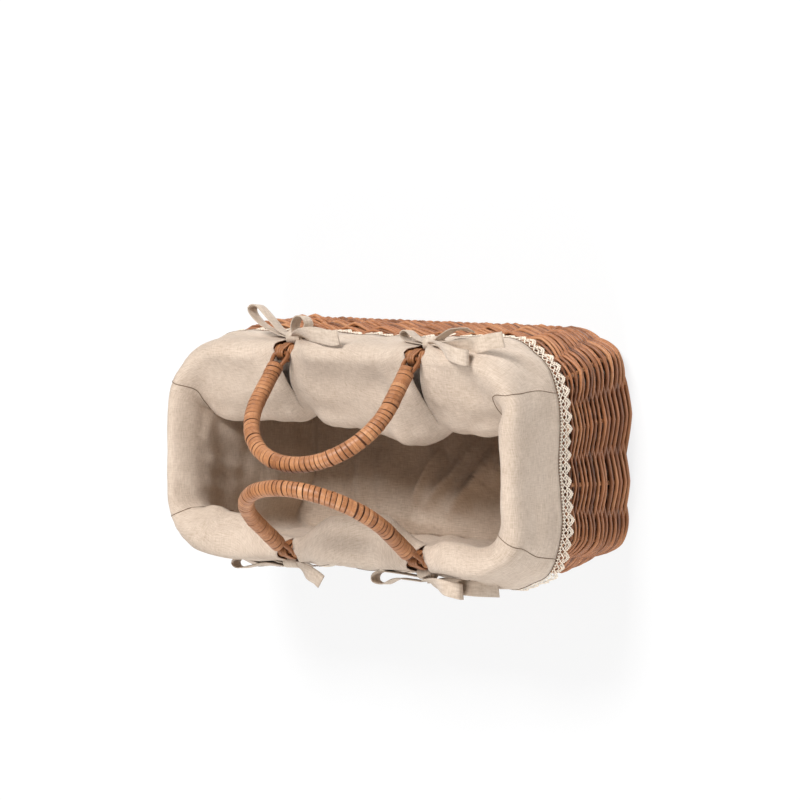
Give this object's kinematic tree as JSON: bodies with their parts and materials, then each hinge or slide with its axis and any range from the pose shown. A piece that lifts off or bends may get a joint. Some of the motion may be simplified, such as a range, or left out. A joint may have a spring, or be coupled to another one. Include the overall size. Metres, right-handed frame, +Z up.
{
  "type": "basket bag",
  "caption": "Rounded-rectangular willow basket bag with a linen lining turned over the rim as a lace-edged cuff, tied bows and two swinging cane-wrapped handles.",
  "frame": {"origin": "on the floor under the middle of the basket, at the bottom centre of the bounding box", "axes": "+Z up out of the open top, X along the length, +Y towards the back handle, -Y towards the front handle"},
  "size_m": [0.4301, 0.2516, 0.3028],
  "materials": {
    "willow": "peeled willow rods, stained brown, satin",
    "cane": "flat cane, light tan, slight sheen",
    "linen": "plain-woven natural linen, matt, creased",
    "lace": "cream cotton bobbin lace, matt"
  },
  "bodies": {
    "basket": {"border_and_stakes": "willow", "foot_rod_1": "willow", "foot_rod_2": "willow", "siding_course_1": "willow", "siding_course_2": "willow", "siding_course_3": "willow", "siding_course_4": "willow", "siding_course_5": "willow", "siding_course_6": "willow", "siding_course_7": "willow", "siding_course_8": "willow", "siding_course_9": "willow", "siding_course_10": "willow", "base_stick_1": "willow", "base_stick_2": "willow", "base_stick_3": "willow", "base_stick_4": "willow", "base_stick_5": "willow", "base_strand_1": "willow", "base_strand_2": "willow", "base_strand_3": "willow", "base_strand_4": "willow", "base_strand_5": "willow", "base_strand_6": "willow", "base_strand_7": "willow", "base_strand_8": "willow", "base_strand_9": "willow", "back_left_lashing": "cane", "back_right_lashing": "cane", "front_left_lashing": "cane", "front_right_lashing": "cane", "lining_bag": "linen", "right_cuff": "linen", "back_cuff": "linen", "left_cuff": "linen", "front_cuff": "linen", "back_left_bow": "linen", "back_right_bow": "linen", "front_left_bow": "linen", "front_right_bow": "linen", "right_lace": "lace", "back_lace": "lace", "left_lace": "lace", "front_lace": "lace"},
    "back_handle": {"back_handle_core": "cane", "back_handle_wrap": "cane"},
    "front_handle": {"front_handle_core": "cane", "front_handle_wrap": "cane"}
  },
  "joints": [
    {"name": "back_handle_hinge", "type": "hinge", "parent": "basket", "child": "back_handle", "pos_m": [0.008, 0.09462, 0.18904], "axis": [1, 0, 0], "range_deg": [-144, 1]},
    {"name": "front_handle_hinge", "type": "hinge", "parent": "basket", "child": "front_handle", "pos_m": [0.008, -0.09462, 0.18904], "axis": [-1, 0, 0], "range_deg": [-135, 1]}
  ]
}
